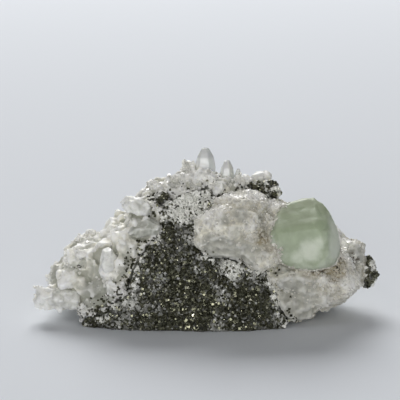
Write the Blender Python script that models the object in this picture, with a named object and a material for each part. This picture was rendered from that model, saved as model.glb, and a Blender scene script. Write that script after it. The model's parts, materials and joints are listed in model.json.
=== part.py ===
"""Fluorite with pyrite: a cabinet mineral specimen, about 100 mm wide.

Milky quartz rock with quartz crystals grown from it, a crust of small pyrite crystals over the
front, a white calcite mass, and one pale green fluorite crystal on the calcite. Metres, +Z up,
the display side towards -Y. The origin is under the middle of the box, on the flat underside.

Places on the display side are given as they are seen: millimetres across and up from the aim
point, in a view that looks down by VIEW_TILT from VIEW_DISTANCE away.
"""

import math
import random

import bmesh
import bpy
from mathutils import Matrix, Vector, noise
from mathutils.bvhtree import BVHTree

MM = 0.001

# Driving sizes
GAP = 0.3 * MM
SKIN_GRAIN = 0.7 * MM
ROCK_TRIANGLES = 1150
CALCITE_TRIANGLES = 820
ROUGHNESS = 1.2 * MM
ROUGH_SCALE = 7.0 * MM
CRUST_DEPTH = 5.0 * MM
CRUST_TRIES = 320
CRUST_GRAIN_SIZES = (1.4, 2.6)
KNOT_CRYSTAL_SIZES = (2.0, 3.2)
FLUORITE_EDGE = 0.9 * MM
SEED = 11

# How the broken blocks are shaped: how far they are turned, how uneven and how boxy they are
BLOCK_TURN = 0.3
BLOCK_UNEVENNESS = 0.35
BOXINESS = 0.75

# How the six-sided crystals are shaped, as shares of their width or length
POINT_HEIGHT = 0.6
LEAST_SHOULDER = 0.45
SHOULDER_SLANT = 0.08
SIDE_SPREAD = (0.94, 1.05)
ROOT_DEPTH = 2.0 * MM

# Clear distance of a crust crystal from another one and from another piece, as shares of its size
GRAIN_SPACING = 0.87
GRAIN_CLEARANCE = 0.9

# The display view
VIEW_TILT = math.radians(14.0)
VIEW_DISTANCE = 0.6
VIEW_AIM = Vector((-1.9, 0.0, 33.0)) * MM

SIGHT = Vector((0.0, math.cos(VIEW_TILT), -math.sin(VIEW_TILT)))
ACROSS = Vector((1.0, 0.0, 0.0))
UP_IN_VIEW = Vector((0.0, math.sin(VIEW_TILT), math.cos(VIEW_TILT)))
EYE = VIEW_AIM - SIGHT * VIEW_DISTANCE

# Corners of the broken blocks that make up the rock, in mm
ROCK_BLOCKS = {
    "front": [
        (-35, -21, -2), (-12, -25, -2), (8, -25, -2), (22, -22.5, -2), (27, -16, 5), (-38, -15, 5), (-29, -19, 12),
        (-17, -19, 20), (0, -20, 20), (18, -18, 16), (-19, -11, 33), (-9, -8, 38), (8, -8, 37), (16, -10, 30),
        (-30, 10, -2), (30, 10, -2), (-15, 8, 38), (15, 8, 36),
    ],
    "left slope": [
        (-43, -12, 5), (-47, -4, 8), (-42, 8, 3), (-30, -18, 1), (-41, -13, 12), (-46, -4, 13.5), (-39, -9, 19),
        (-38, 3, 20), (-28, -11, 25), (-26.5, 3, 27.5), (-24, 12, 16), (-33, 14, 6), (-20, -19, 4), (-15, 10, 0),
    ],
    "upper left": [
        (-27, -10, 14), (-22, -9, 28), (-19, -8, 33), (-15, -6, 37), (-23, 2, 27), (-18, 4, 35), (-11, 4, 39),
        (-24, 9, 20), (-8, 10, 34), (-5, -10, 30),
    ],
    "top": [
        (-13, -5, 38), (-9, 5, 40), (-2, -5, 41), (5, -4, 41), (9, 3, 40), (16, 3, 38), (21, 5, 34), (18, -6, 34),
        (-10, 10, 34), (14, 11, 33), (0, 8, 40), (0, -8, 30), (22, 8, 26), (-14, 10, 20),
    ],
    "right": [
        (24, -16, 3), (34, -11, 4), (42, -4, 8), (45, 4, 12), (44, 9, 15), (40, -2, 22), (36, 8, 24), (26, -6, 30),
        (24, 9, 30), (30, 13, 12), (38, 11, 6), (18, 12, 26), (20, 14, -2), (28, -2, -2),
    ],
    "back": [
        (-28, 14, -2), (0, 20, -2), (22, 18, -2), (-34, 11, 6), (32, 15, 7), (-20, 18, 14), (4, 23, 12),
        (24, 18, 16), (-12, 14, 30), (6, 16, 31), (18, 14, 28), (-20, 0, 0), (20, 0, 0), (0, 0, 34),
    ],
    "back ledge": [
        (-38, 6, 2), (-24, 19, 3), (-14, 21, 8), (-30, 15, 13), (-20, 16, 17), (-20, 5, 5), (-28, 4, 15),
    ],
}

# Lumps of grown-together crystals on the rock: across and up in the view, width and height, and
# how far the middle stands out towards the viewer, in mm
LUMPS = [
    (-38.5, -23.5, 7.5, 6.5, 0.5),
    (-42.6, -21.5, 4.6, 6.4, -1.0),
    (-37.8, -18.0, 3.8, 3.8, 0.5),
    (-34.0, -16.5, 6.5, 5.0, 0.5),
    (-31.0, -20.5, 5.0, 6.5, 0.5),
    (-35.8, -14.8, 4.0, 4.4, -3.0),
    (-32.2, -13.8, 5.4, 4.6, -1.5),
    (-27.6, -12.8, 6.4, 6.0, 0.0),
    (-25.0, -8.8, 4.6, 5.0, -1.5),
    (-21.8, -12.6, 8.6, 5.6, 1.2),
    (-20.8, -5.4, 4.6, 5.0, 0.0),
    (-22.4, -9.6, 6.6, 6.8, 1.4),
    (-18.4, -1.4, 5.0, 5.0, -0.5),
    (-16.8, 0.8, 5.0, 6.0, 0.0),
    (-12.6, 3.2, 5.4, 5.0, 0.0),
    (-8.0, 5.2, 5.8, 4.6, 0.5),
    (-4.2, 7.0, 5.4, 4.6, 0.0),
    (1.0, 6.6, 6.6, 5.6, 0.5),
    (-34.6, -26.5, 5.0, 5.6, 0.5),
    (-30.6, -26.0, 6.4, 6.6, 0.8),
    (-25.6, -26.8, 6.8, 7.6, 0.6),
    (-34.0, -31.5, 5.6, 4.4, 0.0),
    (-28.6, -32.0, 6.0, 4.6, 0.4),
    (-23.4, -19.4, 4.6, 6.0, 0.6),
    (-20.4, -15.6, 3.4, 3.4, 1.0),
]

# Small crystals that stand up from the rock: foot and point across and up in the view, then the
# width and how far foot and point stand out, in mm
SMALL_CRYSTALS = [
    ((-34, -15), (-35.8, -12.8), 3.4, -2.0, -2.0),
    ((-28.5, -10.5), (-29.4, -8.8), 3.0, -2.0, -2.0),
    ((-23, -5.5), (-23.4, -3.6), 3.0, -1.5, -1.5),
    ((-18, 1), (-18.8, 2.8), 3.0, -1.0, -1.0),
    ((-14.5, 3.5), (-15.4, 5.2), 3.0, -1.0, -1.0),
    ((-10.5, 5.5), (-11.0, 7.6), 3.2, -1.0, -1.0),
    ((-6.5, 6.5), (-6.8, 9.2), 3.2, -1.0, -1.0),
    ((-3, 8), (-2.6, 11.0), 4.0, 0.0, 0.0),
    ((13, 5), (13.8, 7.8), 3.4, 0.0, 0.0),
]

# Lumps on the back and the right: a place near each, and its half sizes, in mm
BACK_LUMPS = [
    ((-22, 15, 22), (4.6, 3.6, 4.0)),
    ((-17, 18, 19), (4.2, 3.6, 3.4)),
    ((-14, 17, 26), (4.0, 3.4, 4.6)),
    ((-26, 15, 16), (3.4, 3.2, 3.4)),
    ((24, 17, 20), (4.4, 3.8, 4.4)),
    ((19, 20, 16), (4.6, 3.4, 3.6)),
    ((28, 16, 14), (4.0, 3.8, 3.4)),
    ((14, 18, 23), (3.6, 3.4, 3.8)),
    ((-34, 12, 9), (4.4, 4.4, 3.4)),
    ((36, 11, 14), (4.6, 3.8, 4.0)),
]

# Blocks that make up the calcite: the middle and half sizes in mm
CALCITE_BLOCKS = {
    "lobe": ((7, -17, 28), (10.5, 8, 8.5)),
    "lobe crest": ((9.8, -13, 32.6), (8.6, 8, 6.4)),
    "crest to the right": ((20, -8, 31), (7.5, 6, 4.4)),
    "beside the fluorite": ((15.5, -13.5, 26.5), (6.3, 6, 7)),
    "ledge": ((15.5, -16.5, 21), (6.5, 8, 4.6)),
    "sill": ((25, -15, 15.0), (9, 9, 3.6)),
    "under the fluorite": ((30, -14, 11.0), (9, 10, 6)),
    "behind the fluorite": ((27, -5, 25.5), (9.5, 7, 8)),
    "right face": ((34, -9, 12), (11, 11, 10)),
    "right corner": ((40.4, -3, 14.2), (7.3, 9, 8)),
    "lower edge": ((26, -14, 7.4), (7.6, 8.4, 7.6)),
}

# The crust's outline in the view, in mm
CRUST_OUTLINE = [
    (-38, -42), (-33, -34), (-26, -31.5), (-21, -27), (-19.5, -21), (-17, -16), (-13, -11), (-12, -6),
    (-10, -1), (-4, 2), (3, 3), (6, 0), (4, -6), (2, -12), (6, -17), (14, -20), (22, -20), (26, -24),
    (25.5, -31), (25, -42),
]

# Crystals that are pieces of their own: foot and point across and up in the view, the depth of
# the foot and of the point, the width, how flat, and how blunt at the point, in mm
QUARTZ_CRYSTALS = {
    "quartz_point_tall": [((1.7, 4.5), (1.5, 15.1), 1.0, 1.0, 6.3, 0.95, 0.42)],
    "quartz_point_pair": [
        ((8.0, 2.0), (8.1, 11.5), 0.5, 0.5, 5.0, 0.95, 0.38),
        ((10.7, 2.0), (10.9, 9.1), 0.5, 0.5, 3.0, 0.95, 0.7),
    ],
    "quartz_crystal_tip": [((-35.5, -29.4), (-48.2, -28.2), -12.5, -13.5, 7.4, 0.95, 0.8)],
    "quartz_crystal_bright": [((-26.6, -24.6), (-27.2, -14.6), -15.5, -19.0, 5.6, 0.85, 0.55)],
    "quartz_crystal_right": [((44.0, -19.6), (47.6, -12.6), -1.0, 0.5, 6.0, 0.6, 0.6)],
}

# Block-shaped pieces: across, up and depth of the middle, the half sizes, and the roll in degrees
BLOCKS = {
    "quartz_block": (5.4, 3.4, -6.5, (2.7, 2.4, 2.1), 0),
    "quartz_crystal_lens": (-16.4, -8.2, -14.6, (5.6, 3.8, 2.6), -4),
    "quartz_crystal_wedge": (-18.4, -1.9, -11.2, (4.5, 3.6, 2.5), 22),
    "calcite_cap": (17.8, 6.4, 4.0, (3.2, 2.6, 2.2), 0),
}

# Clusters of pyrite: the middle across, up and in depth, half sizes in mm, and how many crystals
PYRITE_CLUSTERS = {
    "pyrite_cluster_top": (18.6, 2.3, -2.6, (5.0, 3.8, 2.4), 12),
    "pyrite_cluster_right": (48.8, -21.6, -3.0, (2.7, 4.2, 3.5), 12),
}

# The pocket with the single pyrite crystal: across, up, the pocket's radius and the crystal's
POCKET = (-11.3, 0.8, 3.6, 2.0)

# Corners of the fluorite, a worn cube that leans back: across and up in the view, and depth, in mm
FLUORITE_CORNERS = {
    "front face": [
        (21.5, -9.3, -20.5), (36.5, -7.5, -22.5), (37.5, -18.0, -23.5), (33.3, -20.9, -22.5),
        (27.7, -20.1, -22.5), (23.3, -18.0, -21.0), (20.1, -12.7, -19.5),
    ],
    "top": [(23.3, -1.8, -12.5), (32.2, 0.9, -11.0), (34.5, 0.3, -11.5), (37.5, -2.7, -14.0)],
    "right side": [(39.8, -7.4, -15.0), (41.3, -12.1, -15.0), (41.0, -17.1, -16.0), (39.5, -19.5, -18.0)],
    "back": [
        (24.0, -2.5, -5.0), (34.0, -1.0, -5.0), (39.0, -6.0, -7.0), (40.0, -16.0, -8.0),
        (25.0, -18.0, -8.0), (21.0, -10.0, -8.0),
    ],
}

MATERIALS = {
    "milky quartz": ((0.62, 0.61, 0.57), 0.55, 0.0),
    "clear quartz": ((0.70, 0.72, 0.72), 0.15, 0.0),
    "white quartz": ((0.72, 0.71, 0.67), 0.35, 0.0),
    "pyrite": ((0.16, 0.15, 0.10), 0.35, 0.9),
    "calcite": ((0.60, 0.59, 0.55), 0.6, 0.0),
    "green fluorite": ((0.42, 0.52, 0.36), 0.2, 0.0),
}


def material(name):
    """A material with the piece's colour, roughness and metallic value."""
    colour, roughness, metallic = MATERIALS[name]
    made = bpy.data.materials.new(name)
    made.use_nodes = True
    made.diffuse_color = (*colour, 1)
    shader = made.node_tree.nodes["Principled BSDF"]
    shader.inputs["Base Color"].default_value = (*colour, 1)
    shader.inputs["Roughness"].default_value = roughness
    shader.inputs["Metallic"].default_value = metallic
    return made


def new_object(name, mesh):
    """An object with this mesh, or an empty without one, in the scene."""
    obj = bpy.data.objects.new(name, mesh)
    bpy.context.scene.collection.objects.link(obj)
    return obj


def object_from(name, bm):
    """An object with a bmesh's faces, turned to point out."""
    bmesh.ops.recalc_face_normals(bm, faces=bm.faces)
    mesh = bpy.data.meshes.new(name)
    bm.to_mesh(mesh)
    bm.free()
    return new_object(name, mesh)


def settle(obj):
    """Bakes the object's modifiers into its mesh."""
    bpy.context.view_layer.update()
    graph = bpy.context.evaluated_depsgraph_get()
    mesh = bpy.data.meshes.new_from_object(obj.evaluated_get(graph))
    old = obj.data
    obj.modifiers.clear()
    obj.data = mesh
    bpy.data.meshes.remove(old)


def discard(*objects):
    """Removes objects that were only used to shape others."""
    for obj in objects:
        bpy.data.objects.remove(obj)


def duplicate(obj, name):
    """A copy of an object, with its own mesh."""
    return new_object(name, obj.data.copy())


def combine(obj, other, operation, solver="EXACT", overlapping=False):
    """Joins, cuts or crops an object with another, which stays as it is."""
    mod = obj.modifiers.new(operation.lower(), "BOOLEAN")
    mod.operation = operation
    mod.object = other
    mod.solver = solver
    if overlapping:
        mod.use_self = True
    settle(obj)


def work_stone(obj, other, operation):
    """As combine, for rough stone: its facets can cross, which the default solver can't take."""
    combine(obj, other, operation, solver="MANIFOLD")


def grow(obj, by):
    """Moves the whole surface of an object outwards."""
    bm = bmesh.new()
    bm.from_mesh(obj.data)
    bm.normal_update()
    moves = [v.normal * (min(v.calc_shell_factor(), 2.0) * by) for v in bm.verts]
    for vert, move in zip(bm.verts, moves):
        vert.co += move
    bm.to_mesh(obj.data)
    bm.free()


def keep_whole(obj):
    """Drops the chips that cutting has left loose from the main body."""
    bm = bmesh.new()
    bm.from_mesh(obj.data)
    left = set(bm.faces)
    bodies = []
    while left:
        body = set()
        edge = [next(iter(left))]
        while edge:
            face = edge.pop()
            if face in left:
                left.discard(face)
                body.add(face)
                edge.extend(other for e in face.edges for other in e.link_faces)
        bodies.append(body)
    bodies.sort(key=len)
    chips = [face for body in bodies[:-1] for face in body]
    bmesh.ops.delete(bm, geom=chips, context="FACES")
    bm.to_mesh(obj.data)
    bm.free()


def make_room(carrier, *pieces):
    """Cuts a pocket for each piece into the stone that carries it, a gap wider than the piece."""
    for piece in pieces:
        pocket = duplicate(piece, "pocket")
        grow(pocket, GAP)
        work_stone(carrier, pocket, "DIFFERENCE")
        discard(pocket)


def grown_together(name, shapes):
    """One solid from convex shapes that overlap, each given by its corners."""
    bm = bmesh.new()
    add_hull(bm, shapes[0])
    whole = object_from(name, bm)
    bm = bmesh.new()
    for corners in shapes[1:]:
        add_hull(bm, corners)
    rest = object_from("rest", bm)
    combine(whole, rest, "UNION", overlapping=True)
    discard(rest)
    return whole


def add_hull(bm, points):
    """Adds the convex shape of these points."""
    corners = [bm.verts.new(p) for p in points]
    made = bmesh.ops.convex_hull(bm, input=corners)
    inner = [v for v in made["geom_interior"] if isinstance(v, bmesh.types.BMVert)]
    bmesh.ops.delete(bm, geom=inner, context="VERTS")


def ball_points(count, rng, jitter):
    """Points spread round a unit ball, each moved a little."""
    golden = math.pi * (3 - math.sqrt(5))
    points = []
    for k in range(count):
        z = 1 - 2 * (k + 0.5) / count
        around = math.sqrt(1 - z * z)
        p = Vector((around * math.cos(golden * k), around * math.sin(golden * k), z))
        push = Vector([rng.uniform(-jitter, jitter) for _ in range(3)])
        points.append((p + push).normalized())
    return points


def block(centre, half, rng, corners=26):
    """Corners of a broken block: flat faces round an egg of these half sizes, in mm."""
    turn = Matrix.Rotation(rng.uniform(-BLOCK_TURN, BLOCK_TURN), 3, "Z")
    points = []
    for p in ball_points(corners, rng, BLOCK_UNEVENNESS):
        boxed = Vector([math.copysign(abs(c) ** BOXINESS, c) for c in p])
        scaled = Vector([c * h for c, h in zip(boxed, half)])
        points.append((Vector(centre) + turn @ scaled) * MM)
    return points


def crystal(foot, point, width, rng, flat=0.9, taper=0.92, blunt=0.3):
    """Corners of a six-sided crystal from its foot to its point, with a pyramid at the point."""
    axis = point - foot
    length = axis.length
    frame = axis.to_track_quat("Z", "Y").to_matrix()
    turn = rng.uniform(0, math.tau / 6)
    shoulder = max(length - POINT_HEIGHT * width, LEAST_SHOULDER * length)
    corners = []
    for level, scale in ((0.0, 1.0), (shoulder, taper), (length, blunt)):
        for k in range(6):
            angle = turn + k * math.tau / 6
            r = width / 2 * scale * rng.uniform(*SIDE_SPREAD)
            drop = rng.uniform(-SHOULDER_SLANT, SHOULDER_SLANT) * width if level == shoulder else 0.0
            local = Vector((r * math.cos(angle), flat * r * math.sin(angle), level + drop))
            corners.append(foot + frame @ local)
    return corners


def cube(centre, size, rng):
    """Corners of a small cube-shaped crystal, turned at random."""
    turn = Vector([rng.uniform(-1, 1) for _ in range(3)]).to_track_quat("Z", "Y").to_matrix()
    turn = turn @ Matrix.Rotation(rng.uniform(0, math.tau), 3, "Z")
    half = size / 2
    signs = (-half, half)
    return [centre + turn @ Vector((x, y, z)) for x in signs for y in signs for z in signs]


def roughen(obj, height, scale):
    """Raises lumps and sinks pits over the surface."""
    vertices = obj.data.vertices
    normals = [vert.normal.copy() for vert in vertices]
    for vert, normal in zip(vertices, normals):
        lump = noise.fractal(vert.co / scale, 0.9, 2.1, 3)
        vert.co += normal * (lump * height)


def rough_stone(name, shapes, triangles):
    """One closed rough skin round convex shapes that overlap, each given by its corners."""
    bm = bmesh.new()
    for corners in shapes:
        add_hull(bm, corners)
    obj = object_from(name, bm)
    skin = obj.modifiers.new("skin", "REMESH")
    skin.mode = "VOXEL"
    skin.voxel_size = SKIN_GRAIN
    settle(obj)
    roughen(obj, ROUGHNESS, ROUGH_SCALE)
    skin = obj.modifiers.new("even skin", "REMESH")
    skin.mode = "VOXEL"
    skin.voxel_size = SKIN_GRAIN
    settle(obj)
    quads = len(obj.data.polygons)
    fewer = obj.modifiers.new("fewer", "DECIMATE")
    fewer.ratio = min(1.0, triangles / (2 * quads))
    settle(obj)
    return obj


def tree_of(obj):
    """A search tree of an object's surface."""
    bm = bmesh.new()
    bm.from_mesh(obj.data)
    tree = BVHTree.FromBMesh(bm)
    bm.free()
    return tree


def view_ray(across, up):
    """The direction of sight through a place in the view, in mm."""
    aim = VIEW_AIM + (ACROSS * across + UP_IN_VIEW * up) * MM
    return (aim - EYE).normalized()


def in_view(across, up, y):
    """The place in the view, in mm, at this depth in metres."""
    ray = view_ray(across, up)
    return EYE + ray * ((y - EYE.y) / ray.y)


def seen_at(tree, across, up):
    """Where the line of sight at a place in the view, in mm, meets a surface or comes nearest to it."""
    hit = tree.ray_cast(EYE, view_ray(across, up))[0]
    if hit is None:
        near = tree.find_nearest(in_view(across, up, 0.0))[0]
        hit = in_view(across, up, near.y)
    return hit


def cut_flat(obj):
    """Cuts off what is below the standing surface and closes the cut with a flat face."""
    side = 0.2
    bm = bmesh.new()
    bmesh.ops.create_cube(bm, size=side, matrix=Matrix.Translation((0, 0, -side / 2)))
    below = object_from("below", bm)
    work_stone(obj, below, "DIFFERENCE")
    discard(below)


def make_core():
    """The body of the rock, without what has grown on it."""
    shapes = [[Vector(c) * MM for c in corners] for corners in ROCK_BLOCKS.values()]
    return rough_stone("core", shapes, ROCK_TRIANGLES)


def make_growths(tree, rng):
    """The lumps and small crystals that have grown from the rock."""
    shapes = []
    for across, up, width, height, out in LUMPS:
        middle = seen_at(tree, across, up) - SIGHT * out * MM
        half = (width / 2, (width + height) / 4, height / 2)
        shapes.append(block(middle / MM, half, rng, corners=12))
    for foot, point, width, foot_out, point_out in SMALL_CRYSTALS:
        low = seen_at(tree, *foot) - SIGHT * foot_out * MM
        high = in_view(*point, low.y - point_out * MM)
        sunk = low - (high - low).normalized() * ROOT_DEPTH
        shapes.append(crystal(sunk, high, width * MM, rng))
    for place, half in BACK_LUMPS:
        middle = tree.find_nearest(Vector(place) * MM)[0]
        shapes.append(block(middle / MM, half, rng, corners=12))
    return grown_together("growths", shapes)


def make_crust(core):
    """The slab of small pyrite crystals let into the front of the rock."""
    near, far = -60 * MM, 20 * MM
    bm = bmesh.new()
    front = [bm.verts.new(in_view(*p, near)) for p in CRUST_OUTLINE]
    back = [bm.verts.new(in_view(*p, far)) for p in CRUST_OUTLINE]
    bm.faces.new(front)
    bm.faces.new(reversed(back))
    for k in range(len(front)):
        j = (k + 1) % len(front)
        bm.faces.new((front[j], front[k], back[k], back[j]))
    bmesh.ops.triangulate(bm, faces=[f for f in bm.faces if len(f.verts) > 4])
    outline = object_from("outline", bm)
    crust = duplicate(core, "pyrite_crust")
    work_stone(crust, outline, "INTERSECT")
    behind = duplicate(core, "behind")
    behind.data.transform(Matrix.Translation(SIGHT * CRUST_DEPTH))
    work_stone(crust, behind, "DIFFERENCE")
    cut_flat(crust)
    discard(outline, behind)
    return crust


def inside(point, outline):
    """Whether a point of the view lies inside an outline."""
    x, y = point
    within = False
    for (x1, y1), (x2, y2) in zip(outline, outline[1:] + outline[:1]):
        if (y1 > y) != (y2 > y) and x < x1 + (y - y1) * (x2 - x1) / (y2 - y1):
            within = not within
    return within


def add_crust_grains(crust, others, rng):
    """Grows small pyrite crystals out of the crust, clear of each other and of the other pieces."""
    tree = tree_of(crust)
    around = [tree_of(other) for other in others]
    left, right = min(p[0] for p in CRUST_OUTLINE), max(p[0] for p in CRUST_OUTLINE)
    low, high = min(p[1] for p in CRUST_OUTLINE), max(p[1] for p in CRUST_OUTLINE)
    bm = bmesh.new()
    grains = []
    for _ in range(CRUST_TRIES):
        place = (rng.uniform(left, right), rng.uniform(low, high))
        size = rng.uniform(*CRUST_GRAIN_SIZES) * MM
        hit = tree.ray_cast(EYE, view_ray(*place))[0]
        if hit is None or not inside(place, CRUST_OUTLINE) or hit.z < size:
            continue
        if any(other.find_nearest(hit)[3] < size * GRAIN_CLEARANCE + GAP for other in around):
            continue
        if any((hit - at).length < (size + beside) * GRAIN_SPACING for at, beside in grains):
            continue
        grains.append((hit, size))
        add_hull(bm, cube(hit, size, rng))
    cubes = object_from("cubes", bm)
    work_stone(crust, cubes, "UNION")
    discard(cubes)


def make_calcite():
    """The white granular mass with its overhanging lobe."""
    shapes = [block(centre, half, random.Random(name)) for name, (centre, half) in CALCITE_BLOCKS.items()]
    calcite = rough_stone("calcite_mass", shapes, CALCITE_TRIANGLES)
    cut_flat(calcite)
    return calcite


def make_fluorite():
    """The fluorite crystal, a worn cube with its edges broken."""
    corners = [c for side in FLUORITE_CORNERS.values() for c in side]
    bm = bmesh.new()
    add_hull(bm, [in_view(across, up, depth * MM) for across, up, depth in corners])
    bmesh.ops.bevel(bm, geom=list(bm.edges), offset=FLUORITE_EDGE, segments=1, affect="EDGES")
    return object_from("fluorite_crystal", bm)


def make_quartz(name, rng):
    """One of the crystals that are pieces of their own, or a pair grown together."""
    shapes = []
    for foot, point, foot_y, point_y, width, flat, blunt in QUARTZ_CRYSTALS[name]:
        low, high = in_view(*foot, foot_y * MM), in_view(*point, point_y * MM)
        shapes.append(crystal(low, high, width * MM, rng, flat=flat, blunt=blunt))
    return grown_together(name, shapes)


def make_block(name, rng):
    """A block-shaped crystal."""
    across, up, depth, half, roll = BLOCKS[name]
    middle = in_view(across, up, depth * MM)
    turn = Matrix.Rotation(math.radians(roll), 3, "Y")
    return grown_together(name, [[middle + turn @ p for p in block((0, 0, 0), half, rng, corners=18)]])


def make_cluster(name, rng):
    """A knot of pyrite crystals grown together."""
    across, up, depth, half, count = PYRITE_CLUSTERS[name]
    middle = in_view(across, up, depth * MM)
    shapes = [block(middle / MM, [h * 0.85 for h in half], rng, corners=20)]
    for p in ball_points(count, rng, 0.3):
        place = middle + Vector([c * h * 0.82 * MM for c, h in zip(p, half)])
        shapes.append(cube(place, rng.uniform(*KNOT_CRYSTAL_SIZES) * MM, rng))
    return grown_together(name, shapes)


def paint(obj, name):
    """Gives an object a material."""
    obj.data.materials.clear()
    obj.data.materials.append(material(name))


def make_pocket_crystal(tree, rng):
    """The single pyrite crystal in the dark pocket, and the hollow round it."""
    across, up, hollow, size = POCKET
    place = seen_at(tree, across, up)
    seat = (place + SIGHT * size * 0.5 * MM) / MM
    pyrite = grown_together("pyrite_crystal_pocket", [block(seat, [size * 0.9] * 3, rng, corners=20)])
    mouth = (place + SIGHT * 0.4 * MM) / MM
    return pyrite, grown_together("hollow", [block(mouth, (hollow, hollow, hollow * 0.8), rng, corners=20)])


def centre_on_box(objects):
    """Moves everything so that the origin is under the middle of the box, and marks the aim point."""
    corners = [v.co for obj in objects for v in obj.data.vertices]
    middle_x = (min(c.x for c in corners) + max(c.x for c in corners)) / 2
    middle_y = (min(c.y for c in corners) + max(c.y for c in corners)) / 2
    for obj in objects:
        obj.data.transform(Matrix.Translation((-middle_x, -middle_y, 0)))
    aim = new_object("display_aim", None)
    aim.location = VIEW_AIM - Vector((middle_x, middle_y, 0))


def main():
    for obj in list(bpy.data.objects):
        bpy.data.objects.remove(obj)
    rng = random.Random(SEED)
    core = make_core()
    core_tree = tree_of(core)
    calcite = make_calcite()
    make_room(calcite, core)
    growths = make_growths(core_tree, rng)
    make_room(growths, calcite)
    crust = make_crust(core)
    rock = duplicate(core, "quartz_matrix")
    discard(core)
    rock.name = "quartz_matrix"
    work_stone(rock, growths, "UNION")
    discard(growths)
    cut_flat(rock)
    make_room(rock, crust)

    fluorite = make_fluorite()
    quartz = [make_quartz(name, rng) for name in QUARTZ_CRYSTALS]
    blocks = [make_block(name, rng) for name in BLOCKS]
    clusters = [make_cluster(name, rng) for name in PYRITE_CLUSTERS]
    for knot in clusters:
        make_room(knot, *blocks)
    pocket_crystal, hollow = make_pocket_crystal(core_tree, rng)
    work_stone(rock, hollow, "DIFFERENCE")
    discard(hollow)
    for carrier in (rock, calcite, crust):
        make_room(carrier, fluorite, *quartz, *blocks, pocket_crystal)
        keep_whole(carrier)
    for knot in clusters:
        make_room(knot, rock, calcite)
        keep_whole(knot)
    add_crust_grains(crust, [rock, calcite, pocket_crystal, *quartz, *blocks], rng)

    paint(rock, "milky quartz")
    paint(calcite, "calcite")
    paint(fluorite, "green fluorite")
    for obj in quartz:
        paint(obj, "clear quartz")
    for obj in blocks:
        paint(obj, "white quartz")
    for obj in (crust, pocket_crystal, *clusters):
        paint(obj, "pyrite")
    centre_on_box([rock, calcite, fluorite, crust, pocket_crystal, *quartz, *blocks, *clusters])


main()
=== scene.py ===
"""Fluorite with pyrite: the finished specimen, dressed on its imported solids.

Milky quartz rock with a druse of small crystals, a dark crust of pyrite grains, a white granular
calcite mass and a pale green fluorite crystal. Metres, +Z up, the display side towards -Y.
Places are given as they are seen from the display side: millimetres across and up from the point
that the camera looks at.
"""

import json
import math

import bmesh
import bpy
import numpy as np
from bpy.props import FloatProperty, FloatVectorProperty, PointerProperty
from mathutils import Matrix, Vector, noise
from mathutils.bvhtree import BVHTree

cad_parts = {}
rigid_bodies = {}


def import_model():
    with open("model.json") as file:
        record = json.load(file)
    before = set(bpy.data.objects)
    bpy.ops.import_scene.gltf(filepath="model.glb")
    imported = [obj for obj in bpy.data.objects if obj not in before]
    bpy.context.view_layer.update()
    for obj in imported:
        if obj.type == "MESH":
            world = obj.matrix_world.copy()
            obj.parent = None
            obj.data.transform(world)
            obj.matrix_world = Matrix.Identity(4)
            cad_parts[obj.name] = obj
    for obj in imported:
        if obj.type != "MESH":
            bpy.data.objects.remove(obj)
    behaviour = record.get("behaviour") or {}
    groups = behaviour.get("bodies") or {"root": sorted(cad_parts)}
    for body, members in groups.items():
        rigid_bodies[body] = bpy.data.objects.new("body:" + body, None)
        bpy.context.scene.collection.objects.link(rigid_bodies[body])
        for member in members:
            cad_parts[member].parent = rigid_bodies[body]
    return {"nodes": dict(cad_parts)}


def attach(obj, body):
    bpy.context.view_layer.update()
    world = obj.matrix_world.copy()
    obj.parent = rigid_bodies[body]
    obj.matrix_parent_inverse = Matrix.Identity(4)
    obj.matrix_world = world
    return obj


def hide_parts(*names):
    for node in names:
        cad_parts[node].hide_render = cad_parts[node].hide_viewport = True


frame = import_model()

bl_info = {
    "name": "Fluorite with pyrite",
    "version": (1, 0, 0),
    "blender": (4, 5, 0),
    "location": "3D Viewport > Sidebar > Specimen",
    "description": "Models the rock, crust, crystals and stage of a mineral specimen",
    "category": "Object",
}

MM = 0.001

# The display view
TILT = math.radians(14.0)
DISTANCE = 0.6
PICTURE_WIDTH = 0.118
NEAREST_SEEN, FARTHEST_SEEN = 0.01, 50.0
AIM = Vector((-2.458, 1.450, 33.0)) * MM
SIGHT = Vector((0.0, math.cos(TILT), -math.sin(TILT)))
UP_IN_VIEW = Vector((0.0, math.sin(TILT), math.cos(TILT)))
EYE = AIM - SIGHT * DISTANCE

# The display side ends at this depth, and fades into the back over this stretch before it
FRONT_ENDS = 9.0 * MM
FRONT_FADES = 5.0 * MM
# The rearmost place of the solids, and how far from it the small crystals stay
BACK = max(vert.co.y for node in frame["nodes"].values() for vert in node.data.vertices)
BACK_MARGIN = 1.5 * MM

# Vertices this near are one; a surface this near the floor or a solid is covered
SAME_PLACE = 1e-6
NEAR_FLOOR = 0.4 * MM
NEAR_SOLID = 1.6 * MM
# A face whose normal rises more than this looks up; grains keep edges sharper than this angle
LOOKS_UP = 0.9
GRAIN_EDGE = math.radians(15)

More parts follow.
